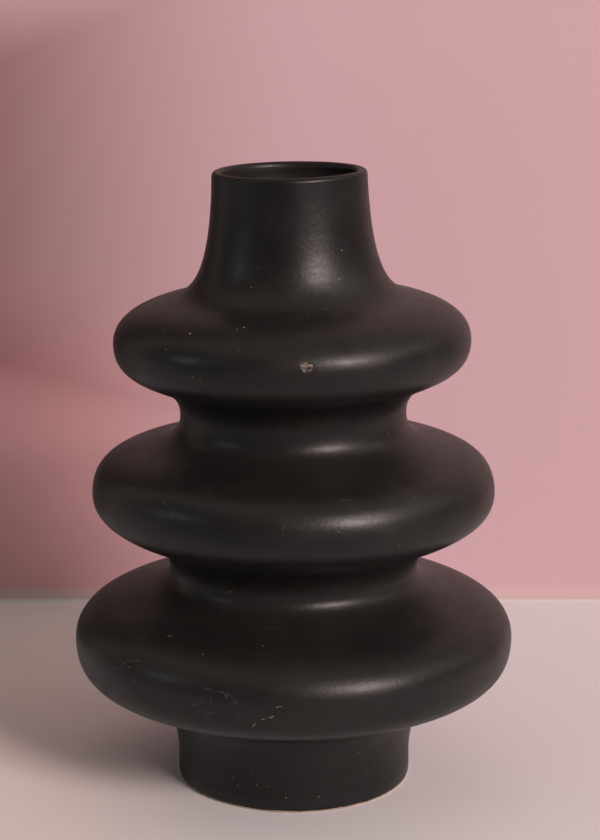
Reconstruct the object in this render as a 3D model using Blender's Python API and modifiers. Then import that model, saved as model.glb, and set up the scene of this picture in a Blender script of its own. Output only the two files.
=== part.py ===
"""Black clay pot: turned sections set on each other and joined with slip.

Metres, +Z up. The origin is at the middle of the foot, on the surface the pot stands on.
Every piece is a profile turned about the pot's axis. The axis is upright up to the middle
ring and leans a little towards -X above it, because the upper sections were set off true.
"""
import bisect
import itertools
import math

import bpy
from mathutils import Vector

NAME = "black_clay_pot"

# Driving dimensions
HEIGHT = 0.350            # along the axis, to the crest of the lip
WALL = 0.0052             # thickness of every wall, and of the lip
GAP = 0.0003              # clearance between neighbouring pieces
SLIP = 0.0008             # thickness of the layer of slip in a seam
SCARF = 0.0025            # rise of a seam from the outer face to the inner face
BEAD = 0.0012             # radius of the slip squeezed out inside a seam
BEAD_NECK = math.radians(135)  # how far round the bead goes on each side of its tip
LEAN = math.radians(0.9)  # final lean of the axis
LEAN_FROM = 0.45 * HEIGHT
LEAN_TO = 0.72 * HEIGHT

# The outer outline from foot to lip: radius, height, slope dr/dz there, and how much height
# the tangent takes below and above the point.
OUTLINE = {
    "foot_edge": (0.0661, 0.0000, 0.39, 0.0, 0.0034),
    "foot": (0.0669, 0.0123, 0.0, 0.0085, 0.0633),
    "lower_ring": (0.1250, 0.0840, 0.0, 0.0440, 0.0301),
    "lower_waist": (0.0704, 0.1253, 0.0, 0.0194, 0.0225),
    "middle_ring": (0.1136, 0.1689, 0.0, 0.0239, 0.0361),
    "upper_waist": (0.0635, 0.2133, 0.0, 0.0273, 0.0255),
    "upper_ring": (0.0998, 0.2553, 0.0, 0.0271, 0.0173),
    "neck_root": (0.0696, 0.2792, -3.4, 0.0021, 0.0035),
    "lip": (0.0428, HEIGHT, -0.03, 0.0636, 0.0),
}

# Heights of the seams on the outer face
FOOT_SEAM = 0.0280
LOWER_SEAM = OUTLINE["lower_waist"][1]
UPPER_SEAM = OUTLINE["upper_waist"][1]
NECK_SEAM = 0.2835

# The floor: a disc with a foot ring below and a raised middle above
SEAT_HEIGHT = 0.0070      # where the wall of the foot stands
FLOOR_TOP = 0.0100
RECESS_DEPTH = 0.0020
RECESS_RADIUS = 0.0520
FOOT_RING_INNER = 0.0540
EDGE_CHAMFER = 0.0008
COVE = 0.0035             # slip smoothed into the corner between floor and wall

# Fineness of the turned shapes
TURNS = 40
FINE = 400                # points on each span of the outline when it is measured
OUTER_STEP = 0.0090       # longest step along the outer face
INNER_STEP = 0.0120       # longest step along the inner face
LIP_POINTS = 5
BEAD_POINTS = 5


def make_material(name, color, roughness):
    material = bpy.data.materials.new(name)
    material.use_nodes = True
    shader = material.node_tree.nodes["Principled BSDF"]
    shader.inputs["Base Color"].default_value = (*color, 1.0)
    shader.inputs["Roughness"].default_value = roughness
    shader.inputs["Metallic"].default_value = 0.0
    material.diffuse_color = (*color, 1.0)
    return material


def bezier(p0, p1, p2, p3, t):
    u = 1.0 - t
    return p0 * u ** 3 + p1 * 3 * u * u * t + p2 * 3 * u * t * t + p3 * t ** 3


class Wall:
    """The wall's outer face as a smooth curve, measured by the length along it."""

    def __init__(self):
        knots = list(OUTLINE.values())
        self.points = [Vector(knots[0][:2])]
        for low, high in zip(knots, knots[1:]):
            p0 = Vector(low[:2])
            p3 = Vector(high[:2])
            p1 = p0 + Vector((low[2], 1.0)) * low[4]
            p2 = p3 - Vector((high[2], 1.0)) * high[3]
            self.points += [bezier(p0, p1, p2, p3, i / FINE) for i in range(1, FINE + 1)]
        steps = [(b - a).length for a, b in zip(self.points, self.points[1:])]
        self.lengths = [0.0, *itertools.accumulate(steps)]
        self.knot_lengths = self.lengths[::FINE]

    def length_at(self, height):
        """Length along the outer face where it reaches a height."""
        index = next(i for i, point in enumerate(self.points) if point.y >= height)
        return self.lengths[index]

    def sample(self, length, depth=0.0):
        """Point at a length along the outer face, moved into the wall by a depth."""
        index = bisect.bisect_left(self.lengths, length)
        index = min(max(index, 1), len(self.lengths) - 1)
        a, b = self.points[index - 1], self.points[index]
        share = (length - self.lengths[index - 1]) / (self.lengths[index] - self.lengths[index - 1])
        along = (b - a).normalized()
        inward = Vector((-along.y, along.x))
        return a.lerp(b, share) + inward * depth

    def run(self, start, end, depth, step):
        """Points from one length up to another through the knots, in steps no longer than step."""
        inside = [length for length in self.knot_lengths if start + step / 4 < length < end - step / 4]
        stops = [start, *inside, end]
        points = [self.sample(start, depth)]
        for low, high in zip(stops, stops[1:]):
            count = math.ceil((high - low) / step)
            points += [self.sample(low + (high - low) * i / count, depth) for i in range(1, count + 1)]
        return points


def lean(point):
    """Bend the axis: upright below LEAN_FROM, leaning by LEAN above LEAN_TO."""
    span = LEAN_TO - LEAN_FROM
    t = min(max((point.z - LEAN_FROM) / span, 0.0), 1.0)
    angle = LEAN * t * t * (3.0 - 2.0 * t)
    drift = LEAN * span * (t ** 3 - 0.5 * t ** 4) + LEAN * max(point.z - LEAN_TO, 0.0)
    x = point.x * math.cos(angle) - drift
    return Vector((x, point.y, point.z + point.x * math.sin(angle)))


def turn(collection, name, profile, material):
    """Turn a profile of (radius, height) about the axis. It runs down its outer side."""
    outline = bpy.data.meshes.new(name + "_profile")
    corners = [(point[0], 0.0, point[1]) for point in profile]
    edges = [(i, i + 1) for i in range(len(corners) - 1)]
    if corners[0][0] > 0.0:
        edges.append((len(corners) - 1, 0))
    outline.from_pydata(corners, edges, [])
    guide = bpy.data.objects.new(name + "_guide", outline)
    bpy.context.scene.collection.objects.link(guide)
    screw = guide.modifiers.new("turn", "SCREW")
    screw.steps = TURNS
    screw.render_steps = TURNS
    screw.use_merge_vertices = True
    screw.merge_threshold = 0.00001
    evaluated = guide.evaluated_get(bpy.context.evaluated_depsgraph_get())
    mesh = bpy.data.meshes.new_from_object(evaluated)
    bpy.data.objects.remove(guide)
    mesh.name = name
    for vertex in mesh.vertices:
        vertex.co = lean(vertex.co)
    mesh.shade_smooth()
    mesh.set_sharp_from_angle(angle=math.radians(35))
    mesh.materials.clear()
    mesh.materials.append(material)
    piece = bpy.data.objects.new(name, mesh)
    collection.objects.link(piece)
    return piece


def half_seam():
    """Half of a seam, measured along the wall: half the slip and one gap."""
    return (SLIP / 2 + GAP) * math.hypot(SCARF, WALL) / WALL


def section_profile(wall, low, high):
    """A stretch of wall between two seams, given by their lengths along the outer face."""
    start = low + half_seam()
    end = high - half_seam()
    outer = wall.run(start, end, 0.0, OUTER_STEP)
    inner = wall.run(start + SCARF, end + SCARF, WALL, INNER_STEP)
    return outer[::-1] + inner


def slip_profile(wall, length):
    """The layer of slip in a seam, with the bead that is squeezed out inside."""
    half = SLIP / 2
    outer = [wall.sample(length + half), wall.sample(length - half)]
    inner_low = wall.sample(length + SCARF - half, WALL)
    inner_high = wall.sample(length + SCARF + half, WALL)
    middle = wall.sample(length + SCARF, WALL + GAP + BEAD)
    inward = (middle - (inner_low + inner_high) / 2).normalized()
    down = (inner_low - inner_high).normalized()
    bead = []
    for i in range(BEAD_POINTS):
        angle = BEAD_NECK * (1 - 2 * i / (BEAD_POINTS - 1))
        bead.append(middle + (inward * math.cos(angle) + down * math.sin(angle)) * BEAD)
    return outer + [inner_low] + bead + [inner_high]


def base_floor(collection, wall, material):
    """Floor disc: foot ring and shallow recess below, seat for the wall and raised middle above."""
    seat_outer = wall.sample(wall.length_at(SEAT_HEIGHT)).x
    step = floor_step_radius(wall)
    edge = OUTLINE["foot_edge"][0]
    profile = [
        (0.0, FLOOR_TOP),
        (step - EDGE_CHAMFER, FLOOR_TOP),
        (step, FLOOR_TOP - EDGE_CHAMFER),
        (step, SEAT_HEIGHT),
        (seat_outer, SEAT_HEIGHT),
        (edge + EDGE_CHAMFER * 0.3, EDGE_CHAMFER),
        (edge - EDGE_CHAMFER, 0.0),
        (FOOT_RING_INNER, 0.0),
        (RECESS_RADIUS, RECESS_DEPTH),
        (0.0, RECESS_DEPTH),
    ]
    return turn(collection, "base_floor", profile, material)


def floor_step_radius(wall):
    """Radius of the floor's raised middle: inside the wall, the slip and two gaps."""
    inner_face = wall.sample(wall.length_at(FLOOR_TOP), WALL).x
    return inner_face - SLIP - 2 * GAP


def floor_slip(collection, wall, material):
    """Slip under the wall of the foot and up its inner side, smoothed into the corner."""
    step = floor_step_radius(wall)
    low = SEAT_HEIGHT + GAP
    high = low + SLIP
    outer = wall.sample(wall.length_at(low)).x
    leg = step + GAP + SLIP
    profile = [
        (leg, FLOOR_TOP + GAP + COVE),
        (leg, high),
        (outer, high),
        (outer, low),
        (step + GAP, low),
        (step + GAP, FLOOR_TOP + GAP),
        (leg - COVE, FLOOR_TOP + GAP),
    ]
    return turn(collection, "floor_slip", profile, material)


def foot_wall(collection, wall, seam, material):
    """Short wall of the foot, standing on the floor's seat."""
    start = wall.length_at(SEAT_HEIGHT + SLIP + 2 * GAP)
    end = seam - half_seam()
    outer = wall.run(start, end, 0.0, OUTER_STEP)
    inner = wall.run(start, end + SCARF, WALL, INNER_STEP)
    return turn(collection, "foot_wall", outer[::-1] + inner, material)


def neck(collection, wall, seam, material):
    """Bell-shaped neck that ends in a fully rounded lip."""
    radius = WALL / 2
    start = seam + half_seam()
    top = wall.length_at(HEIGHT - radius)
    outer = wall.run(start, top, 0.0, OUTER_STEP)[::-1]
    inner = wall.run(start + SCARF, top, WALL, INNER_STEP)
    middle = (outer[0] + inner[-1]) / 2
    lip = []
    for i in range(1, LIP_POINTS + 1):
        angle = math.pi * (1 - i / (LIP_POINTS + 1))
        lip.append(middle + Vector((math.cos(angle), math.sin(angle))) * radius)
    return turn(collection, "neck", outer + inner + lip, material)


def build():
    for old in list(bpy.data.objects):
        bpy.data.objects.remove(old)
    collection = bpy.data.collections.new(NAME)
    bpy.context.scene.collection.children.link(collection)

    black = make_material("black_glazed_clay", (0.022, 0.020, 0.019), 0.38)
    slip = make_material("slip", (0.035, 0.031, 0.029), 0.60)
    bare = make_material("bare_clay", (0.42, 0.31, 0.21), 0.90)

    wall = Wall()
    foot_seam = wall.length_at(FOOT_SEAM)
    lower_seam = wall.length_at(LOWER_SEAM)
    upper_seam = wall.length_at(UPPER_SEAM)
    neck_seam = wall.length_at(NECK_SEAM)

    base_floor(collection, wall, bare)
    floor_slip(collection, wall, slip)
    foot_wall(collection, wall, foot_seam, black)
    turn(collection, "foot_slip", slip_profile(wall, foot_seam), slip)
    turn(collection, "lower_bulb", section_profile(wall, foot_seam, lower_seam), black)
    turn(collection, "lower_waist_slip", slip_profile(wall, lower_seam), slip)
    turn(collection, "middle_bulb", section_profile(wall, lower_seam, upper_seam), black)
    turn(collection, "upper_waist_slip", slip_profile(wall, upper_seam), slip)
    turn(collection, "upper_bulb", section_profile(wall, upper_seam, neck_seam), black)
    turn(collection, "neck_slip", slip_profile(wall, neck_seam), slip)
    neck(collection, wall, neck_seam, black)


build()
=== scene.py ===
"""Looks of the black clay pot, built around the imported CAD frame. Metres, +Z up.

Azimuths are measured from the front (-Y), positive towards +X.
"""
import math

import bpy
import numpy as np
from mathutils import Matrix, Vector


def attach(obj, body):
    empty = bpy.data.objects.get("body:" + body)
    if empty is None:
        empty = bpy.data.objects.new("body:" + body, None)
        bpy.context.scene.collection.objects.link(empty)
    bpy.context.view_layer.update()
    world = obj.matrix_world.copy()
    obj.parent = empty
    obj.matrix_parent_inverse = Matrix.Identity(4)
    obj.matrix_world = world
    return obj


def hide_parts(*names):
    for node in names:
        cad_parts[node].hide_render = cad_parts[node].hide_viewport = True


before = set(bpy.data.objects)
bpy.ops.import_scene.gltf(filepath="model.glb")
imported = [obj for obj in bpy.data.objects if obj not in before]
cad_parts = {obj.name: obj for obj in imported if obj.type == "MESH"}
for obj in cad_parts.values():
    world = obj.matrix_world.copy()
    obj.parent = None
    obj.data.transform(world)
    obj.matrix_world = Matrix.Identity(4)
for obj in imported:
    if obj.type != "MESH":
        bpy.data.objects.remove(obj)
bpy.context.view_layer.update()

# The pot's dimensions, as in the CAD part
HEIGHT = 0.350
WALL = 0.0052           # thickness of every wall, and of the lip
GAP = 0.0003            # clearance between neighbouring pieces
SLIP = 0.0008           # thickness of the layer of slip in a seam
SCARF = 0.0025          # rise of a seam from the outer face to the inner face
BEAD = 0.0012           # radius of the slip squeezed out inside a seam
BEAD_NECK = math.radians(135)  # how far round the bead goes on each side of its tip
LEAN = math.radians(0.9)
LEAN_FROM = 0.45 * HEIGHT
LEAN_TO = 0.72 * HEIGHT
# The outer outline from foot to lip: radius, height, slope dr/dz there, and how much height
# the tangent takes below and above the point
OUTLINE = {
    "foot_edge": (0.0661, 0.0000, 0.39, 0.0, 0.0034),
    "foot": (0.0669, 0.0123, 0.0, 0.0085, 0.0633),
    "lower_ring": (0.1250, 0.0840, 0.0, 0.0440, 0.0301),
    "lower_waist": (0.0704, 0.1253, 0.0, 0.0194, 0.0225),
    "middle_ring": (0.1136, 0.1689, 0.0, 0.0239, 0.0361),
    "upper_waist": (0.0635, 0.2133, 0.0, 0.0273, 0.0255),
    "upper_ring": (0.0998, 0.2553, 0.0, 0.0271, 0.0173),
    "neck_root": (0.0696, 0.2792, -3.4, 0.0021, 0.0035),
    "lip": (0.0428, HEIGHT, -0.03, 0.0636, 0.0),
}
FOOT_SEAM = 0.0280
LOWER_SEAM = OUTLINE["lower_waist"][1]
UPPER_SEAM = OUTLINE["upper_waist"][1]
NECK_SEAM = 0.2835
SEAT_HEIGHT = 0.0070    # where the wall of the foot stands
FLOOR_TOP = 0.0100
RECESS_DEPTH = 0.0020
RECESS_RADIUS = 0.0520
FOOT_RING_INNER = 0.0540
COVE = 0.0035           # slip smoothed into the corner between floor and wall
NUB = 0.00035           # what the turning tool left standing in the middle of the recess

# Fineness of the turned meshes: steps round the pot, steps along the wall, and the first steps
# from each end of a piece
TURNS = 256
OUTER_STEP = 0.0012
INNER_STEP = 0.0024
FINE_ENDS = (0.00005, 0.00015, 0.0003, 0.0005, 0.0008, 0.0012, 0.0018)
SHARP_ANGLE = math.radians(35)

# The flake off the glaze of the upper ring, and the island of glaze left inside it:
# azimuth in radians, height, half width, half height
CHIP = (math.radians(4.7), 0.2597, 0.0037, 0.0023)
ISLAND = (CHIP[0] + math.radians(0.5), CHIP[1] - 0.0001, 0.0013, 0.0005)
CHIP_DEPTH = 0.00018
# Steps of the mesh round the pot at the chip, in degrees from its middle: even, then growing
CHIP_STEPS = (*np.arange(0.0, 2.7, 0.17), 2.95, 3.3, 3.75, 4.35, 5.1, 6.1)
CHIP_MARGIN = math.radians(0.6)
# Shallow dents left by fingers and tools: azimuth in degrees, height, radius, depth
DENTS = (
    (18.4, 0.3092, 0.0021, 0.00011),
    (-128, 0.3150, 0.0060, 0.00008),
    (64, 0.2960, 0.0090, 0.00007),
    (-31, 0.2440, 0.0110, 0.00009),
    (152, 0.2590, 0.0080, 0.00010),
    (21, 0.1780, 0.0120, 0.00008),
    (-101, 0.1620, 0.0090, 0.00010),
    (118, 0.1880, 0.0070, 0.00008),
    (-18, 0.0690, 0.0100, 0.00008),
    (80, 0.0930, 0.0120, 0.00010),
    (-165, 0.0810, 0.0100, 0.00010),
)


def smoothstep(low, high, value):
    t = np.clip((value - low) / (high - low), 0.0, 1.0)
    return t * t * (3.0 - 2.0 * t)


class Wall:
    """The wall's outer face as a smooth curve, measured by the length along it."""

    def __init__(self):
        knots = list(OUTLINE.values())
        t = np.linspace(0.0, 1.0, 401)[1:, None]
        u = 1.0 - t
        spans = [np.array([knots[0][:2]])]
        for low, high in zip(knots, knots[1:]):
            p0, p3 = np.array(low[:2]), np.array(high[:2])
            p1 = p0 + np.array((low[2], 1.0)) * low[4]
            p2 = p3 - np.array((high[2], 1.0)) * high[3]
            spans.append(p0 * u**3 + 3 * p1 * u * u * t + 3 * p2 * u * t * t + p3 * t**3)
        self.points = np.concatenate(spans)
        steps = np.linalg.norm(np.diff(self.points, axis=0), axis=1)
        self.lengths = np.concatenate([[0.0], np.cumsum(steps)])
        tangents = np.gradient(self.points, self.lengths, axis=0)
        self.tangents = tangents / np.linalg.norm(tangents, axis=1)[:, None]

    def length_at(self, height):
        return float(np.interp(height, self.points[:, 1], self.lengths))

    def at(self, length, depth=0.0):
        """Places and outward directions (radius, height) at lengths along the face and a depth."""
        length = np.atleast_1d(np.asarray(length, float))
        point = np.stack([np.interp(length, self.lengths, self.points[:, i]) for i in (0, 1)], 1)
        along = np.stack([np.interp(length, self.lengths, self.tangents[:, i]) for i in (0, 1)], 1)
        along /= np.linalg.norm(along, axis=1)[:, None]
        outward = np.stack([along[:, 1], -along[:, 0]], 1)
        return point - outward * np.reshape(depth, (-1, 1)), outward


wall = Wall()
foot_seam, lower_seam, upper_seam, neck_seam = (
    wall.length_at(height) for height in (FOOT_SEAM, LOWER_SEAM, UPPER_SEAM, NECK_SEAM)
)


# ---- the hand-made form --------------------------------------------------------------------

def lean(x, z):
    """Bend the axis: upright below LEAN_FROM, leaning towards -X by LEAN above LEAN_TO."""
    span = LEAN_TO - LEAN_FROM
    t = np.clip((z - LEAN_FROM) / span, 0.0, 1.0)
    angle = LEAN * t * t * (3.0 - 2.0 * t)
    drift = LEAN * span * (t**3 - 0.5 * t**4) + LEAN * np.maximum(z - LEAN_TO, 0.0)
    return x * np.cos(angle) - drift, z + x * np.sin(angle)


def out_of_round(azimuth, height):
    """How far the thrown wall wanders from a true circle, without growing past the lower ring."""
    turn = height / HEIGHT
    wander = (
        np.sin(2 * azimuth + 9 * turn + 0.4)
        + 0.6 * np.sin(3 * azimuth - 5 * turn + 2.0)
        + 0.3 * np.sin(5 * azimuth + 21 * turn)
    )
    true = np.exp(-(((height - OUTLINE["lower_ring"][1]) / 0.03) ** 2))
    return 0.00009 * wander * (1 - 0.7 * true) - 0.00006 * true


def lip_drop(azimuth, height):
    """The lip isn't quite level: it dips a little on the left and at the back."""
    low = 0.5 - 0.5 * np.sin(azimuth) + 0.25 * np.sin(2 * azimuth + 2.2) + 0.25
    return 0.00022 * low * smoothstep(0.300, HEIGHT, height)


def spot_distance(azimuth, length, spot_azimuth, spot_height, half_width, half_height):
    """Distance from a spot on the wall, 1 at the rim of its ellipse, and the bearing round it."""
    spot_length = wall.length_at(spot_height)
    radius = wall.at(spot_length)[0][0, 0]
    turn = (azimuth - spot_azimuth + math.pi) % (2 * math.pi) - math.pi
    across = turn * radius / half_width
    up = (length - spot_length) / half_height
    return np.hypot(across, up), np.arctan2(up, across)


def chip_mask(azimuth, length):
    """1 where the glaze has flaked off: a ragged crescent round an island that stayed on."""
    distance, bearing = spot_distance(azimuth, length, *CHIP)
    rim = (
        1.0
        + 0.16 * np.sin(3 * bearing + 0.8)
        + 0.12 * np.sin(7 * bearing + 2.1)
        + 0.07 * np.sin(13 * bearing)
    )
    island, _ = spot_distance(azimuth, length, *ISLAND)
    off = 1.0 - smoothstep(0.82, 1.0, distance / rim)
    return off * smoothstep(0.75, 1.15, island + 0.25 * np.sin(4 * bearing))


def outer_relief(azimuth, length):
    """Relief of the outer face: faint turning, dents and the chip."""
    uneven = np.sin(length * 134 + 0.5 + 0.6 * np.sin(azimuth - 1))
    relief = 0.000016 * np.sin(length * 571 + 1.3 * np.sin(azimuth)) * uneven
    relief = relief + 0.000006 * np.sin(length * 1030 + 0.8 * np.sin(2 * azimuth + 1))
    for degrees, height, radius, depth in DENTS:
        distance, _ = spot_distance(azimuth, length, math.radians(degrees), height, radius, radius)
        relief = relief - depth * (1.0 - smoothstep(0.0, 1.0, distance))
    return relief - CHIP_DEPTH * chip_mask(azimuth, length)


def inner_relief(azimuth, length):
    """Throwing rings that climb inside the pot in a spiral, uneven in depth."""
    spiral = length * 2 * math.pi / 0.0085 + azimuth
    depth = 0.00022 + 0.00008 * np.sin(length * 61 + 0.7)
    depth = depth + 0.00005 * np.sin(2 * azimuth + length * 40)
    return depth * (np.sin(spiral) + 0.25 * np.sin(2 * spiral + 0.9))


def bead_relief(azimuth, length):
    """The squeezed-out slip was smeared by a finger, so the bead is uneven."""
    smears = 1 + 0.6 * np.sin(5 * azimuth + 1) + 0.4 * np.sin(11 * azimuth + length * 300)
    return -0.00012 * smears


# ---- turned meshes -------------------------------------------------------------------------

def graded_azimuths():
    """Even steps round the pot, with finer ones where the chip is."""
    even = np.arange(TURNS) * 2 * math.pi / TURNS - math.pi
    offsets = np.array(CHIP_STEPS)
    fine = CHIP[0] + np.radians(np.concatenate([-offsets[:0:-1], offsets]))
    kept = even[(even < fine[0] - CHIP_MARGIN) | (even > fine[-1] + CHIP_MARGIN)]
    return np.sort(np.concatenate([kept, fine]))


AZIMUTHS = graded_azimuths()


def stations(start, end, step):
    """Lengths from start to end in even steps, with finer ones at both ends."""
    ends = np.array(FINE_ENDS)
    low, high = start + ends[-1], end - ends[-1]
    count = max(math.ceil((high - low) / step), 1)
    middle = np.linspace(low, high, count + 1)
    return np.concatenate([[start], start + ends[:-1], middle, end - ends[-2::-1], [end]])


class Profile:
    """Rows of a turned solid: place, outward direction, length along the wall and kind of face."""

    OUTER, INNER, BEAD, PLAIN = range(4)

    def __init__(self):
        self.rows = []

    def add(self, points, outward, lengths, kind):
        for point, out, length in zip(points, outward, lengths):
            self.rows.append((*point, *out, length, kind))

    def face(self, lengths, depth, kind):
        points, outward = wall.at(lengths, depth)
        self.add(points, outward if kind == self.OUTER else -outward, lengths, kind)

    def plain(self, points, kind=PLAIN, outward=None):
        """Points given by radius and height. Their length along the wall counts from the axis."""
        points = np.array(points, float)
        if outward is None:
            outward = np.zeros_like(points)
        self.add(points, outward, points[:, 0], kind)

    def seam(self, length, depths):
        """Sloping face of a seam between the outer and the inner face."""
        points = [wall.at(length + SCARF * depth / WALL, depth)[0][0] for depth in depths]
        self.plain(points)


def turned(name, profile, closed=True):
    """Turn a profile about the axis into a solid. An open profile starts and ends on the axis."""
    rows = np.array([row for row in profile.rows if closed or row[0] > 1e-9], float)
    r0, z0, out_r, out_z, length, kind = (column[:, None] for column in rows.T)
    azimuth = AZIMUTHS[None, :]
    shift = np.where(kind == Profile.OUTER, outer_relief(azimuth, length), 0.0)
    shift = np.where(kind == Profile.INNER, inner_relief(azimuth, length), shift)
    shift = np.where(kind == Profile.BEAD, bead_relief(azimuth, length), shift)
    radius = r0 + out_r * shift + out_of_round(azimuth, z0) * smoothstep(0.0, 0.02, r0)
    height = z0 + out_z * shift - lip_drop(azimuth, z0)
    x, z = lean(radius * np.sin(azimuth), height)
    y = -radius * np.cos(azimuth)
    points = np.stack([x, y, z], -1).reshape(-1, 3)
    chip = np.where(kind == Profile.OUTER, chip_mask(azimuth, length), 0.0) + 0.0 * x
    inside = ((kind == Profile.INNER) | (kind == Profile.BEAD)) + 0.0 * x
    along = length + 0.0 * x

    n, m = x.shape
    i, j = np.meshgrid(np.arange(n if closed else n - 1), np.arange(m), indexing="ij")
    i1, j1 = (i + 1) % n, (j + 1) % m
    faces = np.stack([i * m + j, i * m + j1, i1 * m + j1, i1 * m + j], -1).reshape(-1, 4)
    a, b, c, d = (points[faces[:, k]] for k in range(4))
    volume = np.sum(a * np.cross(b, c)) + np.sum(a * np.cross(c, d))
    faces = faces.tolist()
    values = {"along": along.ravel(), "chip": chip.ravel(), "inside": inside.ravel()}
    if not closed:
        poles = [(0.0, 0.0, row[1]) for row in (profile.rows[0], profile.rows[-1])]
        points = np.concatenate([points, poles])
        for pole, row in ((n * m, 0), (n * m + 1, n - 1)):
            ring = [(row * m + k, row * m + (k + 1) % m) for k in range(m)]
            faces += [[pole, q, p] if row == 0 else [pole, p, q] for p, q in ring]
        values = {key: np.append(value, [0.0, 0.0]) for key, value in values.items()}
    if volume < 0:
        faces = [face[::-1] for face in faces]

    mesh = bpy.data.meshes.new(name + "_fired")
    mesh.from_pydata(points.tolist(), [], faces)
    for key, value in values.items():
        attribute = mesh.attributes.new(key, "FLOAT", "POINT")
        attribute.data.foreach_set("value", value.astype(np.float32))
    mesh.shade_smooth()
    mesh.set_sharp_from_angle(angle=SHARP_ANGLE)
    mesh.validate()
    piece = bpy.data.objects.new(name + "_fired", mesh)
    bpy.context.scene.collection.objects.link(piece)
    return piece


def section(name, low, high):
    """A stretch of wall between two seams, given by their lengths along the outer face."""
    start, end = low + SLIP / 2, high - SLIP / 2
    profile = Profile()
    profile.face(stations(start, end, OUTER_STEP), 0.0, Profile.OUTER)
    profile.seam(end, np.linspace(0, WALL, 5)[1:-1])
    profile.face(stations(start + SCARF, end + SCARF, INNER_STEP)[::-1], WALL, Profile.INNER)
    profile.seam(start, np.linspace(WALL, 0, 5)[1:-1])
    return turned(name, profile)


def slip_ring(name, length):
    """The layer of slip in a seam, with the bead that was squeezed out inside."""
    half = SLIP / 2
    across = np.array([-half, -0.00035, -0.0002, 0.0, 0.0002, 0.00035, half])
    profile = Profile()
    profile.face(length + across, 0.0, Profile.OUTER)
    profile.seam(length + half, np.linspace(0, WALL, 5)[1:])
    low, high = (wall.at(length + SCARF + end, WALL)[0][0] for end in (-half, half))
    middle = wall.at(length + SCARF, WALL + GAP + BEAD)[0][0]
    inward = middle - (low + high) / 2
    inward /= np.linalg.norm(inward)
    up = (high - low) / np.linalg.norm(high - low)
    angles = np.linspace(BEAD_NECK, -BEAD_NECK, 15)
    outward = np.array([inward * math.cos(a) + up * math.sin(a) for a in angles])
    profile.add(middle + outward * BEAD, outward, [length] * len(angles), Profile.BEAD)
    profile.seam(length - half, np.linspace(WALL, 0, 5)[:-1])
    return turned(name, profile)


def arc(centre, radius, start, end, count):
    angles = np.radians(np.linspace(start, end, count))
    return [(centre[0] + radius * math.cos(a), centre[1] + radius * math.sin(a)) for a in angles]


def floor_step_radius():
    """Radius of the floor's raised middle: inside the wall, the slip and two gaps."""
    return wall.at(wall.length_at(FLOOR_TOP), WALL)[0][0, 0] - SLIP - 2 * GAP


def base_floor():
    """Floor disc: foot ring and shallow recess below, seat for the wall and raised middle above."""
    step = floor_step_radius() + GAP / 2
    seat = SEAT_HEIGHT + GAP / 2
    round_edge, soft = 0.0010, 0.0006
    profile = Profile()
    profile.plain([(0.0, FLOOR_TOP)])
    radii = np.arange(0.0012, step - 0.0012, 0.0014)
    top = np.stack([radii, np.full_like(radii, FLOOR_TOP)], 1)
    profile.plain(top, Profile.INNER, np.tile((0.0, 1.0), (len(radii), 1)))
    profile.plain(arc((step - soft, FLOOR_TOP - soft), soft, 90, 0, 5))
    profile.plain([(step, z) for z in np.linspace(FLOOR_TOP - soft, seat, 4)[1:]])
    outer_seat = wall.at(wall.length_at(seat))[0][0, 0]
    profile.plain([(r, seat) for r in np.linspace(step, outer_seat, 5)[1:-1]])
    lengths = stations(wall.length_at(round_edge), wall.length_at(seat), OUTER_STEP / 2)[::-1]
    profile.face(lengths, 0.0, Profile.OUTER)
    edge = wall.at(wall.length_at(round_edge))[0][0, 0]
    profile.plain(arc((edge - round_edge, round_edge), round_edge, 0, -90, 8)[1:])
    ring = np.linspace(edge - round_edge, FOOT_RING_INNER + soft, 8)[1:]
    profile.plain([(r, 0.0) for r in ring])
    profile.plain(arc((FOOT_RING_INNER + soft, soft), soft, -90, -150, 4)[1:])
    profile.plain([
        (RECESS_RADIUS + soft, RECESS_DEPTH - 0.0004),
        (RECESS_RADIUS, RECESS_DEPTH - 0.0001),
    ])
    radii = np.arange(RECESS_RADIUS - soft, 0.0012, -0.0010)
    turns = radii * 2 * math.pi
    marks = 0.00012 * np.sin(turns / 0.0042) + 0.00009 * np.sin(turns / 0.0097)
    nub = NUB * np.exp(-((radii / 0.004) ** 2))
    profile.plain(np.stack([radii, RECESS_DEPTH + marks - nub], 1))
    profile.plain([(0.0, RECESS_DEPTH - NUB)])
    return turned("base_floor", profile, closed=False)


def floor_slip():
    """Slip under the wall of the foot and up its inner side, smoothed into the corner."""
    step = floor_step_radius() + GAP / 2
    low = SEAT_HEIGHT + GAP / 2
    high = low + SLIP + GAP
    leg = floor_step_radius() + GAP + SLIP + GAP / 2
    centre = (leg - COVE, FLOOR_TOP + GAP / 2 + COVE)
    profile = Profile()
    profile.plain([(leg, z) for z in np.linspace(centre[1], high, 5)])
    outer = wall.at(wall.length_at(high))[0][0, 0]
    profile.plain([(r, high) for r in np.linspace(leg, outer, 4)[1:-1]])
    start, end = wall.length_at(low), wall.length_at(high)
    profile.face(np.linspace(end, start, 7), 0.0, Profile.OUTER)
    profile.plain([(r, low) for r in np.linspace(wall.at(start)[0][0, 0], step, 5)[1:]])
    profile.plain([(step, z) for z in np.linspace(low, FLOOR_TOP + GAP / 2, 4)[1:]])
    profile.plain([(leg - COVE, FLOOR_TOP + GAP / 2)])
    cove = np.array(arc(centre, COVE, -90, 0, 9)[1:-1])
    profile.plain(cove, Profile.BEAD, np.zeros_like(cove))
    return turned("floor_slip", profile)


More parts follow.
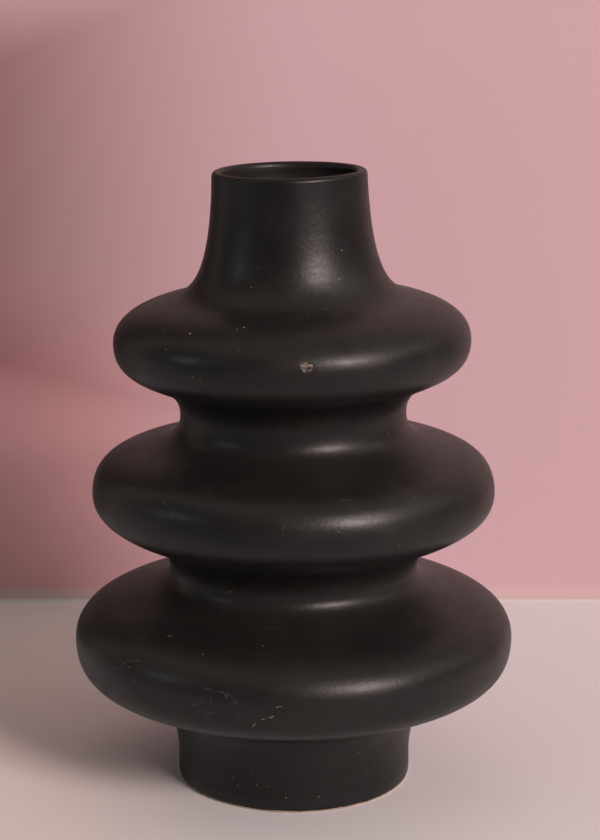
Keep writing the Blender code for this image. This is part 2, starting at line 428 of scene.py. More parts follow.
def foot_wall():
    """Short wall of the foot, standing on the floor's seat."""
    start = wall.length_at(SEAT_HEIGHT + SLIP + GAP * 1.5)
    end = foot_seam - SLIP / 2
    profile = Profile()
    profile.face(stations(start, end, OUTER_STEP), 0.0, Profile.OUTER)
    profile.seam(end, np.linspace(0, WALL, 5)[1:-1])
    profile.face(stations(start, end + SCARF, INNER_STEP)[::-1], WALL, Profile.INNER)
    foot = [wall.at(start, depth)[0][0] for depth in np.linspace(WALL, 0, 5)[1:-1]]
    profile.plain(foot)
    return turned("foot_wall", profile)


def neck():
    """Bell-shaped neck that ends in a plain, fully rounded lip."""
    radius = WALL / 2
    start = neck_seam + SLIP / 2
    top = wall.length_at(HEIGHT - radius)
    profile = Profile()
    outer = stations(start, top, OUTER_STEP)
    profile.face(outer, 0.0, Profile.OUTER)
    middle = wall.at(top, radius)[0][0]
    points = np.array(arc(middle, radius, 0, 180, 19)[1:-1])
    outward = (points - middle) / radius
    profile.add(points, outward, top + np.linspace(0.0004, 0.0078, len(points)), Profile.OUTER)
    inner = stations(start + SCARF, top, INNER_STEP)[::-1]
    profile.face(inner, WALL, Profile.INNER)
    profile.seam(start, np.linspace(WALL, 0, 5)[1:-1])
    return turned("neck", profile)


# ---- materials -----------------------------------------------------------------------------

class Nodes:
    """A short way to write a node tree."""

    def __init__(self, tree):
        self.tree = tree

    def node(self, kind, inputs=None, **settings):
        made = self.tree.nodes.new("ShaderNode" + kind)
        for key, value in settings.items():
            setattr(made, key, value)
        for key, value in (inputs or {}).items():
            self.put(made.inputs[key], value)
        return made

    def put(self, socket, value):
        if isinstance(value, bpy.types.NodeSocket):
            self.tree.links.new(value, socket)
        else:
            socket.default_value = value

    def math(self, operation, a, b=0.0, c=0.0):
        return self.node("Math", {0: a, 1: b, 2: c}, operation=operation).outputs[0]

    def times(self, a, b):
        return self.math("MULTIPLY", a, b)

    def total(self, *terms):
        result = terms[0]
        for term in terms[1:]:
            result = self.math("ADD", result, term)
        return result

    def vector(self, operation, a, b=(0.0, 0.0, 0.0), scale=1.0):
        made = self.node("VectorMath", {0: a, 1: b, 3: scale}, operation=operation)
        return made.outputs["Value" if operation in ("LENGTH", "DISTANCE") else "Vector"]

    def axes(self, place):
        return tuple(self.node("SeparateXYZ", {0: place}).outputs)

    def attribute(self, name):
        return self.node("Attribute", attribute_name=name).outputs["Fac"]

    def noise(self, place, scale, detail=2.0, rough=0.5, warp=0.0):
        inputs = {"Vector": place, "Scale": scale, "Detail": detail, "Roughness": rough}
        return self.node("TexNoise", {**inputs, "Distortion": warp}).outputs["Fac"]

    def cells(self, place, scale):
        """Distance to the nearest point of a scatter, and that point's own random numbers."""
        made = self.node("TexVoronoi", {"Vector": place, "Scale": scale})
        parts = self.node("SeparateColor", {"Color": made.outputs["Color"]})
        return made.outputs["Distance"], parts.outputs

    def ramp(self, value, low, high, to_low=0.0, to_high=1.0):
        """Ease from to_low to to_high while value goes from low to high. Low may be the larger."""
        made = self.node("MapRange", interpolation_type="SMOOTHSTEP")
        for index, number in enumerate((value, low, high, to_low, to_high)):
            self.put(made.inputs[index], number)
        return made.outputs[0]

    def mix(self, factor, a, b):
        """Mix two colours, each a socket or three numbers."""
        made = self.node("Mix", {0: factor}, data_type="RGBA")
        for index, color in ((6, a), (7, b)):
            is_socket = isinstance(color, bpy.types.NodeSocket)
            self.put(made.inputs[index], color if is_socket else (*color, 1.0))
        return made.outputs[2]

    def blend(self, factor, a, b):
        return self.node("Mix", {0: factor, 2: a, 3: b}, data_type="FLOAT").outputs[0]


class Shader(Nodes):
    """A procedural material."""

    def __init__(self, name):
        self.material = bpy.data.materials.new(name)
        self.material.use_nodes = True
        super().__init__(self.material.node_tree)
        self.surface = self.tree.nodes["Principled BSDF"]
        self.object = self.node("TexCoord").outputs["Object"]

    def bump(self, height):
        """Relief given in metres."""
        made = self.node("Bump", {"Height": height, "Distance": 1.0, "Strength": 1.0})
        self.put(self.surface.inputs["Normal"], made.outputs["Normal"])


MARK_REACH = 0.003      # how far a mark reaches in and out from the wall
MARK_CORE = 0.55        # how much of a mark's width is at full strength


def wall_frame(degrees, height):
    """Point on the outer face and its directions: round the pot, outward and up the wall."""
    azimuth, length = math.radians(degrees), wall.length_at(height)

    def place(a, s):
        (r, z), _ = (value[0] for value in wall.at(s))
        r += float(out_of_round(a, z))
        x, z = lean(r * math.sin(a), z)
        return Vector((float(x), -r * math.cos(a), float(z)))

    middle = place(azimuth, length)
    around = (place(azimuth + 0.001, length) - middle).normalized()
    up = (place(azimuth, length + 0.0001) - middle).normalized()
    out = around.cross(up).normalized()
    return middle, around, out, up


def mark_mask(shader, place, mark):
    """0 outside a mark on the wall and 1 within it. A mark is an ellipse turned by tilt."""
    degrees, height, half_width, half_height, tilt = mark
    middle, around, out, up = wall_frame(degrees, height)
    turn = math.radians(tilt)
    first = around * math.cos(turn) + up * math.sin(turn)
    second = out.cross(first)
    axes = Matrix((first, -out, second)).transposed()
    inputs = {
        "Vector": place,
        "Location": middle,
        "Rotation": axes.to_euler(),
        "Scale": (half_width, MARK_REACH, half_height),
    }
    local = shader.node("Mapping", inputs, vector_type="TEXTURE").outputs[0]
    return shader.ramp(shader.vector("LENGTH", local), 1.0, MARK_CORE)


# Marks on the outside: azimuth in degrees, height, half width, half height, tilt in degrees
SCRATCHES = {  # glaze scratched through to the tan clay
    "lower_bulb": (
        (-9.6, 0.0735, 0.0015, 0.00036, 39), (-7.3, 0.0772, 0.0022, 0.00044, 21),
        (-5.3, 0.0788, 0.0023, 0.00040, 21), (-3.4, 0.0847, 0.0018, 0.00028, 7),
        (-40.7, 0.1073, 0.0023, 0.00042, 10), (-42.8, 0.0864, 0.0012, 0.00030, -10),
        (128, 0.0950, 0.0024, 0.00035, 18), (-150, 0.0720, 0.0018, 0.00035, -24),
    ),
    "middle_bulb": (
        (-43.3, 0.1319, 0.0011, 0.00045, -34), (-29.3, 0.1271, 0.0028, 0.00036, 26),
        (167, 0.1760, 0.0020, 0.00030, -12),
    ),
    "upper_bulb": ((-118, 0.2480, 0.0016, 0.00030, 14),),
}
SPECKS = {  # pinholes where a grain of pale grit shows: azimuth, height, radius
    "upper_bulb": (
        (-37.2, 0.2727, 0.00085), (-51.8, 0.2766, 0.00070), (-38.3, 0.2794, 0.00050),
        (-18.0, 0.2765, 0.00070), (49.2, 0.2667, 0.00035), (17.7, 0.2825, 0.00045),
        (7.4, 0.2803, 0.00035), (-73.7, 0.2776, 0.00045), (-57.4, 0.2838, 0.00040),
        (-36.2, 0.2796, 0.00040), (-63.4, 0.2727, 0.00035), (-50.1, 0.2723, 0.00035),
        (-20.2, 0.2757, 0.00035), (-16.7, 0.2675, 0.00030), (-42.9, 0.2646, 0.00040),
        (-50.0, 0.2789, 0.00035),
    ),
    "foot_wall": (
        (-42.0, 0.0109, 0.00040), (-30.6, 0.0177, 0.00035), (-19.6, 0.0220, 0.00035),
        (-27.7, 0.0133, 0.00040), (-17.7, 0.0157, 0.00035), (-3.5, 0.0092, 0.00045),
        (12.0, 0.0095, 0.00040), (-11.8, 0.0157, 0.00035), (36.9, 0.0178, 0.00035),
        (118.0, 0.0130, 0.00040), (-150.0, 0.0190, 0.00040), (170.0, 0.0120, 0.00035),
    ),
    "neck": ((36.7, 0.3104, 0.00045), (30.8, 0.2961, 0.00045), (-24.0, 0.2930, 0.00030)),
}
PITS = {  # open pinholes: azimuth, height, radius
    "upper_bulb": (
        (54.3, 0.2784, 0.00080), (60.6, 0.2778, 0.00058), (57.0, 0.2767, 0.00062),
        (62.3, 0.2792, 0.00050), (35.3, 0.2759, 0.00062), (-72.5, 0.2492, 0.00060),
    ),
}
SCUFFS = {  # bruised, greyish glaze, broken up into small bits
    "lower_bulb": (
        (-20.0, 0.0909, 0.0036, 0.0016, -8), (-15.9, 0.0890, 0.0030, 0.0020, 0),
        (-22.5, 0.0833, 0.0042, 0.0018, 24), (-14.3, 0.0855, 0.0028, 0.0030, -40),
        (-21.9, 0.0759, 0.0026, 0.0026, 0), (-11.5, 0.0800, 0.0030, 0.0010, 0),
        (96, 0.0990, 0.0060, 0.0030, 10), (-140, 0.0900, 0.0050, 0.0025, -14),
    ),
    "middle_bulb": ((-42.0, 0.1715, 0.0024, 0.0012, 0), (140, 0.1650, 0.0050, 0.0030, 20)),
    "upper_bulb": ((-150, 0.2610, 0.0050, 0.0024, -10),),
}
LINES = {  # thin bright scratches that didn't go through
    "lower_bulb": (
        (-50.6, 0.0899, 0.0048, 0.00026, 29), (-47.9, 0.0936, 0.0030, 0.00034, 44),
        (-46.3, 0.0953, 0.0018, 0.00032, 7), (-44.0, 0.0965, 0.0036, 0.00030, 12),
        (70, 0.0760, 0.0070, 0.00025, -12),
    ),
    "middle_bulb": (
        (-38.2, 0.1836, 0.0030, 0.00020, -30), (-34.8, 0.1801, 0.0012, 0.00022, -10),
        (104, 0.1790, 0.0060, 0.00022, 24),
    ),
}
SCRAPES = {  # faint broken scratches
    "lower_bulb": (
        (-21.3, 0.0909, 0.0034, 0.00032, 0), (-18.0, 0.0905, 0.0041, 0.00036, -6),
        (-15.4, 0.0894, 0.0022, 0.00036, -24), (-14.0, 0.0865, 0.0027, 0.00032, -56),
        (-24.4, 0.0818, 0.0024, 0.00040, 25), (-22.6, 0.0840, 0.0026, 0.00036, 34),
        (-20.2, 0.0848, 0.0029, 0.00030, -99), (-20.7, 0.0783, 0.0027, 0.00034, -6),
        (-22.1, 0.0730, 0.0015, 0.00034, -22), (-12.9, 0.0791, 0.0021, 0.00034, 0),
        (-16.6, 0.0892, 0.0029, 0.00030, -41), (-59.1, 0.1089, 0.0047, 0.00030, -8),
        (-55.1, 0.1098, 0.0036, 0.00030, 14), (-9.4, 0.1134, 0.0045, 0.00026, 9),
        (-5.0, 0.1133, 0.0028, 0.00026, -22), (-6.9, 0.1153, 0.0035, 0.00026, -6),
        (110, 0.1010, 0.0080, 0.00030, 16), (-128, 0.0940, 0.0060, 0.00030, -12),
    ),
    "middle_bulb": (
        (-44.0, 0.1715, 0.0040, 0.00030, 8), (16, 0.1890, 0.0050, 0.00024, -9),
        (150, 0.1850, 0.0070, 0.00028, 14),
    ),
    "upper_bulb": ((-24.0, 0.2520, 0.0040, 0.00024, 10), (-160, 0.2650, 0.0060, 0.00028, -8)),
}
HAIRLINES = {  # fine dark cracks in the glaze
    "upper_bulb": (
        (35.9, 0.2768, 0.0070, 0.00030, 88), (37.1, 0.2722, 0.0062, 0.00034, 86),
        (37.5, 0.2672, 0.0040, 0.00028, 92),
    ),
}


def strongest(shader, masks):
    """The largest of the masks, or 0 if there are none."""
    result = 0.0
    for mask in masks:
        result = shader.math("MAXIMUM", result, mask)
    return result


def dots(shader, place, spots):
    """Round spots on the outer face."""
    masks = []
    for degrees, height, radius in spots:
        middle = wall_frame(degrees, height)[0]
        away = shader.vector("DISTANCE", place, middle)
        masks.append(shader.ramp(away, radius, radius * MARK_CORE))
    return strongest(shader, masks)


GLAZE_ROUGHNESS = 0.392
GLAZE_IOR = 1.40
# Colours of the glaze: its two main tones, browner patches, darker streaks, thinner inside the
# pot, bruised to grey, and in a pinhole
GLAZE = ((0.0112, 0.0110, 0.0105), (0.0168, 0.0153, 0.0140))
GLAZE_PATCH = (0.0230, 0.0195, 0.0170)
GLAZE_STREAK = (0.0085, 0.0085, 0.0088)
GLAZE_INSIDE = (0.0240, 0.0205, 0.0175)
BRUISE = (0.0850, 0.0870, 0.0890)
HOLE = (0.0015, 0.0014, 0.0013)
# Colours of the clay that shows in scratches, at grains of grit and where the glaze flaked off
OCHRE = ((0.1200, 0.0740, 0.0360), (0.3000, 0.2050, 0.1200))
GRIT = (0.4200, 0.3100, 0.1600)
FLAKED = ((0.0600, 0.0490, 0.0420), (0.2500, 0.1980, 0.1660))
# How rare the small faults are, from 0 to 1. The neck has fewer grains of grit
RARE = 0.955
RARE_GRIT = {"neck": 0.988}


def black_glaze(name):
    """Satin black glaze on buff clay, with the wear of the piece it is for, and painted shade on
    the neck and the foot.
    """
    s = Shader(name)
    place = s.object
    along, chip, inside = (s.attribute(key) for key in ("along", "chip", "inside"))
    around = s.vector("NORMALIZE", s.vector("MULTIPLY", place, (1.0, 1.0, 0.0)))

    def ring(k_around, k_along):
        """Coordinates round the pot and along its wall, to stretch a pattern either way."""
        up = s.node("CombineXYZ", {"Z": s.times(along, k_along)}).outputs[0]
        return s.vector("ADD", s.vector("SCALE", around, scale=k_around), up)

    wobble = s.node("TexNoise", {"Vector": place, "Scale": 420.0, "Detail": 2.0}).outputs["Color"]
    wobble = s.vector("SUBTRACT", wobble, (0.5, 0.5, 0.5))
    ragged = s.vector("ADD", place, s.vector("SCALE", wobble, scale=0.0016))
    wavy = s.vector("ADD", place, s.vector("SCALE", wobble, scale=0.0007))
    cloud = s.noise(place, 17.0, 3.0, 0.55)
    patch = s.noise(place, 61.0, 3.0, 0.6, 0.4)
    brushed = s.noise(ring(9.0, 420.0), 1.0, 3.0, 0.6)
    grain = s.noise(place, 1150.0, 3.0, 0.6)
    strokes = s.noise(ring(70.0, 1500.0), 1.0, 2.0, 0.55)
    crumbs = s.noise(place, 900.0, 2.0, 0.6)

    def marks(table, where):
        return strongest(s, [mark_mask(s, where, mark) for mark in table.get(name, ())])

    # wear of this piece
    scratch = s.times(marks(SCRATCHES, ragged), s.ramp(crumbs, 0.36, 0.50))
    speck = dots(s, wavy, SPECKS.get(name, ()))
    pit = dots(s, place, PITS.get(name, ()))
    web = s.math("ABSOLUTE", s.math("SUBTRACT", s.noise(place, 260.0, 2.0, 0.6, 0.6), 0.5))
    bits = s.math("MAXIMUM", s.ramp(web, 0.030, 0.010), s.ramp(crumbs, 0.60, 0.68))
    scuff = s.times(marks(SCUFFS, ragged), bits)
    line = marks(LINES, wavy)
    scrape = s.times(marks(SCRAPES, wavy), s.ramp(crumbs, 0.38, 0.54))
    crack = marks(HAIRLINES, wavy)

    # small faults everywhere: grit that shows, pinholes and hair scratches
    away, chance = s.cells(place, 250.0)
    near = s.ramp(away, 0.11, 0.06)
    rare = RARE_GRIT.get(name, RARE)
    grit = s.times(near, s.ramp(chance[0], rare, rare + 0.010))
    hole = s.times(near, s.ramp(chance[1], RARE, RARE + 0.010))
    contour = s.math("ABSOLUTE", s.math("SUBTRACT", s.noise(place, 34.0, 1.5, 0.5, 1.2), 0.5))
    hair = s.times(s.ramp(contour, 0.0018, 0.0005), s.ramp(s.noise(place, 75.0), 0.53, 0.62))
    flaked = s.times(s.ramp(chip, 0.35, 0.6), s.ramp(s.noise(place, 1300.0, 2.0), 0.30, 0.42))
    tan = strongest(s, [scratch, s.times(speck, 0.85), s.times(grit, 0.8), flaked])
    pale = strongest(s, [s.times(scuff, 0.40), line, s.times(scrape, 0.65), s.times(hair, 0.30)])
    pale = s.times(pale, s.math("SUBTRACT", 1.0, inside))
    dark = strongest(s, [pit, hole, s.times(crack, 0.8)])

    color = s.mix(s.ramp(cloud, 0.32, 0.70), *GLAZE)
    color = s.mix(s.ramp(patch, 0.50, 0.80, 0.0, 0.5), color, GLAZE_PATCH)
    color = s.mix(s.ramp(brushed, 0.45, 0.80, 0.0, 0.35), color, GLAZE_STREAK)
    color = s.mix(s.times(inside, 0.8), color, GLAZE_INSIDE)
    # painted shade: the colour is darkened on the neck and on the foot, standing in for shade that
    # falls there
    z = s.axes(place)[2]
    painted_shade = s.times(s.ramp(z, 0.282, 0.312, 1.0, 0.62), s.ramp(z, 0.016, 0.040, 0.72, 1.0))
    color = s.vector("SCALE", color, scale=painted_shade)
    color = s.mix(s.times(pale, 0.80), color, BRUISE)
    ochre = s.mix(s.ramp(crumbs, 0.35, 0.65), *OCHRE)
    ochre = s.mix(s.math("MAXIMUM", speck, grit), ochre, GRIT)
    clay = s.mix(s.ramp(s.noise(place, 700.0, 2.0), 0.38, 0.62), *FLAKED)
    color = s.mix(tan, color, s.mix(s.ramp(chip, 0.05, 0.15), ochre, clay))
    s.put(s.surface.inputs["Base Color"], s.mix(dark, color, HOLE))

    s.put(s.surface.inputs["Roughness"], s.total(
        GLAZE_ROUGHNESS,
        s.ramp(cloud, 0.30, 0.70, -0.020, 0.020),
        s.ramp(patch, 0.35, 0.75, -0.020, 0.035),
        s.ramp(brushed, 0.30, 0.75, -0.020, 0.030),
        s.times(inside, 0.22),
        s.times(pale, 0.15),
        s.times(tan, 0.45),
        s.times(dark, 0.40),
    ))
    s.surface.inputs["IOR"].default_value = GLAZE_IOR
    s.bump(s.total(
        s.times(grain, 0.000020),
        s.times(strokes, 0.000016),
        s.times(s.noise(place, 430.0, 1.0, 0.5, 0.3), 0.000080),
        s.times(s.noise(place, 190.0, 2.0), 0.000045),
        s.times(hair, -0.000010),
        s.times(line, -0.000020),
        s.times(scuff, -0.000015),
        s.times(tan, -0.000060),
        s.times(dark, -0.000120),
    ))
    return s.material


GLAZE_EDGE = 0.00115    # height of the glaze's lower edge on the foot
CLAY_IOR = 1.45
# Colours of the bare clay: its two main tones, turning marks, sand, dark grog, smears of glaze
# and where the foot is worn. Then the glaze on the foot's edge
CLAY = ((0.44, 0.345, 0.245), (0.58, 0.475, 0.360))
CLAY_RING = (0.35, 0.255, 0.175)
CLAY_SAND = (0.62, 0.53, 0.42)
CLAY_GROG = (0.16, 0.10, 0.065)
CLAY_SMEAR = (0.045, 0.036, 0.030)
CLAY_WORN = (0.26, 0.20, 0.15)
FOOT_GLAZE = ((0.0080, 0.0078, 0.0075), (0.0120, 0.0110, 0.0100))


def bare_clay(name):
    """Buff clay left bare under the foot. Above a ragged edge the black glaze covers it."""
    s = Shader(name)
    place = s.object
    z = s.axes(place)[2]
    radius = s.vector("LENGTH", s.vector("MULTIPLY", place, (1.0, 1.0, 0.0)))
    ragged = s.math("SUBTRACT", s.noise(place, 90.0, 4.0, 0.6), 0.5)
    over_edge = s.math("SUBTRACT", z, s.total(GLAZE_EDGE, s.times(ragged, 0.0012)))
    side = s.times(s.ramp(over_edge, -0.00008, 0.00008), s.ramp(radius, 0.0560, 0.0570))
    glazed = s.math("MAXIMUM", side, s.ramp(z, 0.0050, 0.0055))

    sand = s.noise(place, 1500.0, 3.0, 0.7)
    cloud = s.noise(place, 34.0, 4.0, 0.6)
    away, chance = s.cells(place, 520.0)
    grog = s.times(s.ramp(away, 0.34, 0.20), s.ramp(chance[0], 0.72, 0.78))
    across = s.node("CombineXYZ", {"X": s.times(radius, 1600.0)}).outputs[0]
    rings = s.noise(across, 1.0, 3.0, 0.6)
    color = s.mix(s.ramp(cloud, 0.30, 0.72), *CLAY)
    color = s.mix(s.ramp(rings, 0.40, 0.75, 0.0, 0.35), color, CLAY_RING)
    color = s.mix(s.ramp(sand, 0.45, 0.80, 0.0, 0.4), color, CLAY_SAND)
    color = s.mix(s.times(grog, 0.6), color, CLAY_GROG)
    smear = s.ramp(s.noise(place, 55.0, 5.0, 0.65, 0.8), 0.60, 0.68, 0.0, 0.55)
    color = s.mix(smear, color, CLAY_SMEAR)
    color = s.mix(s.ramp(z, 0.00025, 0.0, 0.0, 0.25), color, CLAY_WORN)
    black = s.mix(s.ramp(cloud, 0.32, 0.70), *FOOT_GLAZE)
    s.put(s.surface.inputs["Base Color"], s.mix(glazed, color, black))
    bare_rough = s.ramp(sand, 0.3, 0.7, 0.82, 0.95)
    glaze_rough = s.ramp(s.noise(place, 61.0, 3.0, 0.6), 0.35, 0.75, 0.32, 0.42)
    s.put(s.surface.inputs["Roughness"], s.blend(glazed, bare_rough, glaze_rough))
    s.surface.inputs["IOR"].default_value = CLAY_IOR
    bare = s.math("SUBTRACT", 1.0, glazed)
    s.bump(s.total(
        s.times(glazed, 0.00010),
        s.times(s.times(sand, bare), 0.00006),
        s.times(s.times(rings, bare), 0.00010),
        s.times(s.times(grog, bare), 0.00005),
        s.times(s.noise(place, 1150.0, 3.0, 0.6), 0.0000042),
    ))
    return s.material


# ---- the pot -------------------------------------------------------------------------------

PIECES = (
    (base_floor, (), "bare_clay"),
    (floor_slip, (), "slip"),
    (foot_wall, (), "black_glazed_clay"),
    (slip_ring, ("foot_slip", foot_seam), "slip"),
    (section, ("lower_bulb", foot_seam, lower_seam), "black_glazed_clay"),
    (slip_ring, ("lower_waist_slip", lower_seam), "slip"),
    (section, ("middle_bulb", lower_seam, upper_seam), "black_glazed_clay"),
    (slip_ring, ("upper_waist_slip", upper_seam), "slip"),
    (section, ("upper_bulb", upper_seam, neck_seam), "black_glazed_clay"),
    (slip_ring, ("neck_slip", neck_seam), "slip"),
    (neck, (), "black_glazed_clay"),
)
materials = {"slip": black_glaze("slip"), "bare_clay": bare_clay("bare_clay_foot")}
for make, values, slot in PIECES:
    piece = make(*values)
    node = piece.name.removesuffix("_fired")
    piece.data.materials.append(materials.get(slot) or black_glaze(node))
    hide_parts(node)
    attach(piece, "root")


# ---- the studio ----------------------------------------------------------------------------

# Papers: their colours, then how the camera sees them, then how the pot's reflections show
# their far parts
FLOOR_COLOR = (0.72, 0.73, 0.73)
WALL_COLOR = (0.55, 0.39, 0.41)
# painted shade on the backdrop's left, for all rays but the camera's
SHADE_COLOR = (0.12, 0.070, 0.070)
FLOOR_SEEN = (0.85, 0.83, 0.83)
# painted pink bounce light on the floor's left, as the camera sees it
FLOOR_SEEN_LEFT_BOUNCE = (0.99, 0.87, 0.83)
FOOT_SEEN = (0.66, 0.49, 0.47)
# painted shade on the backdrop's left, as the camera sees it
SHADE_SEEN = (0.12, 0.035, 0.030)
WALL_TINT = (1.22, 1.17, 1.20)      # factors on the wall's colour, then those low on its left
# painted pink bounce light in the shade low on the backdrop's left, as the camera sees it
LOW_LEFT_BOUNCE_TINT = (1.62, 1.22, 1.18)
# painted glow of the floor in front, in the pot's reflections, where it stands in for darker paper
FLOOR_FAR_GLOW = (0.19, 0.20, 0.21)
# painted shade on the backdrop's far sides, in the pot's reflections
WALL_FAR_SHADE = (0.02, 0.012, 0.012)
# painted glow at the backdrop's far left and right, in the pot's reflections
WALL_GLOW_LEFT = (0.46, 0.37, 0.32)
WALL_GLOW_RIGHT = (0.13, 0.12, 0.10)
BLACK = (0.0, 0.0, 0.0)
PAPER_ROUGHNESS = 0.75
PAPER_SPECULAR = 0.2

FLOOR_SIZE = 9.0                    # radii of the floor and of the hole in it
FLOOR_HOLE = 0.0650
FLOOR_SIDES = 96
BACKDROP_AT = 0.320                 # how far behind the pot's axis the backdrop stands
BACKDROP_LIFT = 0.0001              # how far it hangs above the floor
BACKDROP_BEND = 0.010
BACKDROP_HEIGHT = 1.3
BACKDROP_HALF = 1.3


def paper(name, color):
    """Matt paper."""
    s = Shader(name)
    s.put(s.surface.inputs["Base Color"], (*color, 1.0))
    s.surface.inputs["Roughness"].default_value = PAPER_ROUGHNESS
    s.surface.inputs["Specular IOR Level"].default_value = PAPER_SPECULAR
    s.surface.inputs["Emission Strength"].default_value = 1.0
    return s


def see_through(s, amount):
    """Let the given share of each ray pass through the paper."""
    clear = s.node("BsdfTransparent").outputs[0]
    both = s.node("MixShader", {0: amount, 1: s.surface.outputs[0], 2: clear}).outputs[0]
    s.put(s.tree.nodes["Material Output"].inputs["Surface"], both)


def floor_paper():
    """Pale paper that fades away far from the pot and can't be seen from below. To the camera its
    left shows painted pink bounce light.

    In the pot's reflections it ends a little way in front of the pot, in a dim painted glow.
    """
    s = paper("ground", FLOOR_COLOR)
    x, y, _ = s.axes(s.object)
    ray = s.node("LightPath").outputs
    seen = ray["Is Camera Ray"]
    # painted: in the pot's reflections the floor in front turns to black paper with a dim glow
    far = s.times(ray["Is Glossy Ray"], s.ramp(y, -0.18, -0.55))
    # painted pink bounce light on the floor's left, for the camera
    left = s.times(s.ramp(x, -0.02, -0.16), s.ramp(x, -0.60, -0.30))
    color = s.mix(seen, FLOOR_COLOR, s.mix(left, FLOOR_SEEN, FLOOR_SEEN_LEFT_BOUNCE))
    s.put(s.surface.inputs["Base Color"], s.mix(far, color, BLACK))
    s.put(s.surface.inputs["Emission Color"], s.mix(far, BLACK, FLOOR_FAR_GLOW))
    faded = s.times(seen, s.ramp(s.vector("LENGTH", s.object), 0.9, 2.6))
    see_through(s, s.math("MAXIMUM", faded, s.node("NewGeometry").outputs["Backfacing"]))
    return s.material


def backdrop_paper():
    """Pale pink paper with painted shade on its left. It can't be seen from behind.

    In the pot's reflections its far sides and its high left get painted shade, and its far left and
    right end in a faint painted glow.
    """
    s = paper("backdrop", WALL_COLOR)
    x, _, z = s.axes(s.object)
    ray = s.node("LightPath").outputs
    seen, mirrored = ray["Is Camera Ray"], ray["Is Glossy Ray"]

    # painted shade on the left, which the camera sees neither far to the left nor high up
    low_left = s.times(s.ramp(x, -0.60, -0.30), s.ramp(z, 0.22, 0.11))
    lit = s.math("MAXIMUM", s.ramp(x, -0.36, 0.03), low_left)
    beyond = s.math("MAXIMUM", s.ramp(x, -0.22, -0.45), s.ramp(z, 0.32, 0.48))
    lit = s.math("MAXIMUM", lit, s.times(seen, beyond))
    pink = s.mix(lit, s.mix(seen, SHADE_COLOR, SHADE_SEEN), WALL_COLOR)
    # painted pink bounce light in the shade low on the left, as the camera sees it
    low_left = s.times(s.ramp(x, -0.02, -0.18), s.ramp(x, -0.45, -0.25))
    low_left = s.times(low_left, s.ramp(z, 0.25, 0.12))
    tint = s.mix(low_left, WALL_TINT, LOW_LEFT_BOUNCE_TINT)
    pink = s.mix(seen, pink, s.vector("MULTIPLY", pink, tint))

    # the far sides, in the pot's reflections: painted shade, and a faint painted glow
    far = s.math("MAXIMUM", s.ramp(x, -0.24, -0.42), s.ramp(x, 0.45, 0.65))
    far = s.math("MAXIMUM", far, s.times(s.ramp(z, 0.50, 0.80), s.ramp(x, 0.05, -0.25)))
    pink = s.mix(s.times(mirrored, far), pink, WALL_FAR_SHADE)
    glow = s.mix(s.ramp(x, -0.46, -0.66), BLACK, WALL_GLOW_LEFT)
    glow = s.mix(s.ramp(x, 0.45, 0.65), glow, WALL_GLOW_RIGHT)
    s.put(s.surface.inputs["Emission Color"], s.mix(mirrored, BLACK, glow))

    # the foot, where the paper bends into the floor
    foot = s.mix(s.ramp(z, 0.0, 0.0018), FLOOR_SEEN, FOOT_SEEN)
    s.put(s.surface.inputs["Base Color"], s.mix(s.ramp(z, 0.0010, 0.0120), foot, pink))
    see_through(s, s.node("NewGeometry").outputs["Backfacing"])
    return s.material


def stage_mesh(name, points, faces, material):
    mesh = bpy.data.meshes.new(name)
    mesh.from_pydata(points, [], faces)
    mesh.shade_smooth()
    mesh.materials.append(material)
    made = bpy.data.objects.new(name, mesh)
    bpy.context.scene.collection.objects.link(made)


def ground():
    """Floor with a hole hidden under the foot, so that light from below reaches the underside."""
    turns = [2 * math.pi * k / FLOOR_SIDES for k in range(FLOOR_SIDES)]
    rims = (FLOOR_HOLE, FLOOR_SIZE)
    points = [(r * math.cos(a), r * math.sin(a), 0.0) for a in turns for r in rims]
    faces = []
    for k in range(0, len(points), 2):
        after = (k + 2) % len(points)
        faces.append((k, k + 1, after + 1, after))
    stage_mesh("ground", points, faces, floor_paper())


def backdrop():
    """Upright sheet with a small bend where it meets the floor."""
    rows = [
        (
            BACKDROP_AT - BACKDROP_BEND + BACKDROP_BEND * math.sin(a),
            BACKDROP_BEND * (1 - math.cos(a)) + BACKDROP_LIFT,
        )
        for a in np.linspace(0, math.pi / 2, 12)
    ]
    rows.append((BACKDROP_AT, BACKDROP_HEIGHT))
    points = [(x, y, z) for y, z in rows for x in (-BACKDROP_HALF, BACKDROP_HALF)]
    faces = [(k, k + 1, k + 3, k + 2) for k in range(0, len(points) - 2, 2)]
    stage_mesh("backdrop", points, faces, backdrop_paper())


def softbox(name, place, aim, size, power, color):
    data = bpy.data.lights.new(name, "AREA")
    data.shape = "RECTANGLE"
    data.size, data.size_y = size
    data.energy = power
    data.color = color
    light = bpy.data.objects.new(name, data)
    light.location = place
    light.rotation_euler = (Vector(aim) - Vector(place)).to_track_quat("-Z", "Y").to_euler()
    bpy.context.scene.collection.objects.link(light)


# The room's brightness: low and middle directions to each side, overhead, and from below
ROOM = {
    "low": {
        "front": (0.02, 0.02, 0.02), "back": (0.20, 0.19, 0.19),
        "right": (0.05, 0.045, 0.04), "left": (0.03, 0.04, 0.06),
    },
    "middle": {
        "front": (0.03, 0.03, 0.03), "back": (0.25, 0.24, 0.24),
        "right": (1.15, 1.00, 0.97), "left": (0.08, 0.08, 0.08),
    },
    "high": (0.28, 0.28, 0.26),
    "high_left": (0.20, 0.18, 0.16),
    "below": (0.50, 0.48, 0.47),
}
ROOM_SEEN = (0.60, 0.53, 0.52)


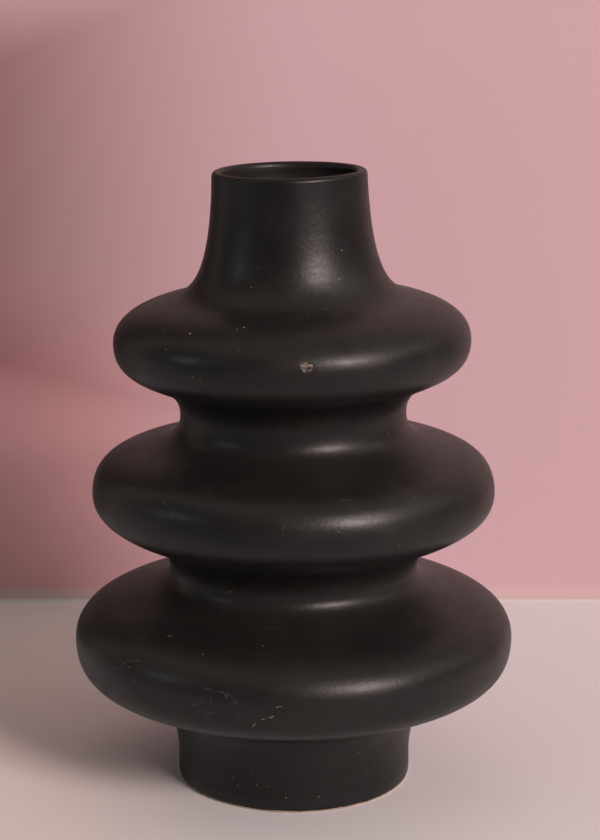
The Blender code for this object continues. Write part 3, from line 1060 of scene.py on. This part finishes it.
def room():
    """Soft light from all round. The camera sees it as one plain tone."""
    made = bpy.data.worlds.new("studio")
    made.use_nodes = True
    sky = Nodes(made.node_tree)
    x, y, z = sky.axes(sky.node("TexCoord").outputs["Generated"])
    flat = sky.math("SQRT", sky.total(sky.times(x, x), sky.times(y, y), 0.000001))
    sides = {"front": (y, -1.0), "back": (y, 1.0), "right": (x, 1.0), "left": (x, -1.0)}
    bands = {"low": sky.ramp(z, 0.15, 0.50, 1.0, 0.0), "high": sky.ramp(z, 0.55, 0.90)}
    bands["middle"] = sky.math("SUBTRACT", 1.0, sky.total(bands["low"], bands["high"]))
    glow = sky.vector("SCALE", ROOM["high"], scale=bands["high"])
    overhead_left = sky.times(bands["high"], sky.ramp(x, -0.05, -0.45))
    glow = sky.vector("ADD", glow, sky.vector("SCALE", ROOM["high_left"], scale=overhead_left))
    for side, (axis, sign) in sides.items():
        toward = sky.math("MAXIMUM", sky.math("DIVIDE", sky.times(axis, sign), flat), 0.0)
        toward = sky.times(toward, toward)
        for band in ("low", "middle"):
            share = sky.times(toward, bands[band])
            glow = sky.vector("ADD", glow, sky.vector("SCALE", ROOM[band][side], scale=share))
    glow = sky.mix(sky.ramp(z, -0.02, -0.30), glow, ROOM["below"])
    seen = sky.mix(sky.node("LightPath").outputs["Is Camera Ray"], glow, ROOM_SEEN)
    sky.put(sky.tree.nodes["Background"].inputs["Color"], seen)
    return made


MIDDLE = (0.0, 0.0, HEIGHT / 2)
CAMERA_AT = (0.0036, -1.1936, 0.4901)
CAMERA_DOWN = 13.268                # how many degrees the camera looks down
LENS = 93.33
SENSOR = 36.0

ground()
backdrop()
softbox("key", (4.30, -5.63, 3.75), MIDDLE, (2.60, 1.70), 510.0, (1.0, 0.82, 0.80))
softbox("left_glow", (-1.80, -0.66, 0.82), MIDDLE, (0.25, 0.25), 1.7, (0.90, 0.95, 0.95))
bpy.context.scene.world = room()
bpy.context.scene.view_settings.view_transform = "Standard"

camera_data = bpy.data.cameras.new("camera")
camera_data.lens = LENS
camera_data.sensor_width = SENSOR
camera = bpy.data.objects.new("camera", camera_data)
camera.location = CAMERA_AT
camera.rotation_euler = (math.radians(90.0 - CAMERA_DOWN), 0.0, 0.0)
bpy.context.scene.collection.objects.link(camera)
bpy.context.scene.camera = camera
